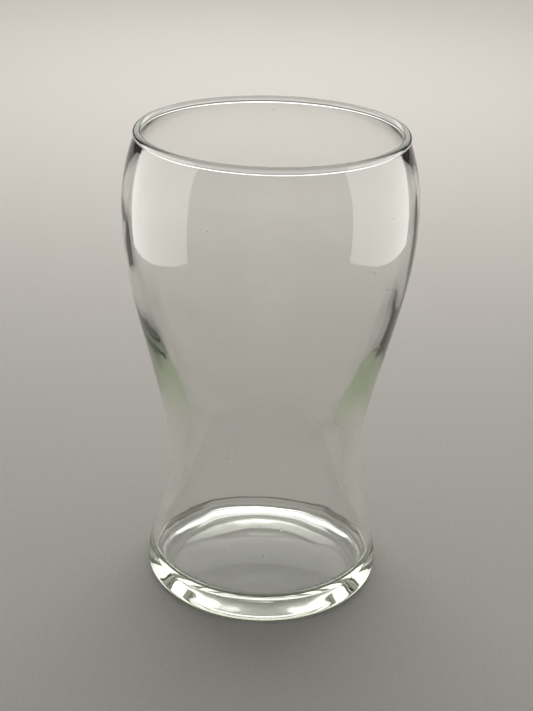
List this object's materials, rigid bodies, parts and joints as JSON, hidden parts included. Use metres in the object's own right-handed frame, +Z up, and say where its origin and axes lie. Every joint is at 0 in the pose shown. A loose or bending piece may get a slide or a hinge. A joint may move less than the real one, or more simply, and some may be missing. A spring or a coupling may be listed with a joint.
{
  "type": "pint glass",
  "caption": "Clear one-piece beer tumbler with a rolled rim, a full bowl, a narrow waist and a thick flared foot.",
  "frame": {"origin": "centre of the foot, on the plane that the glass stands on", "axes": "+Z up the glass's axis of revolution, from the foot to the rim; X and Y are alike"},
  "size_m": [0.0876, 0.0876, 0.146],
  "materials": {
    "glass": "clear soda-lime glass with a slight green tint, fire-polished"
  },
  "bodies": {
    "root": {"glass_body": "glass"}
  },
  "joints": []
}
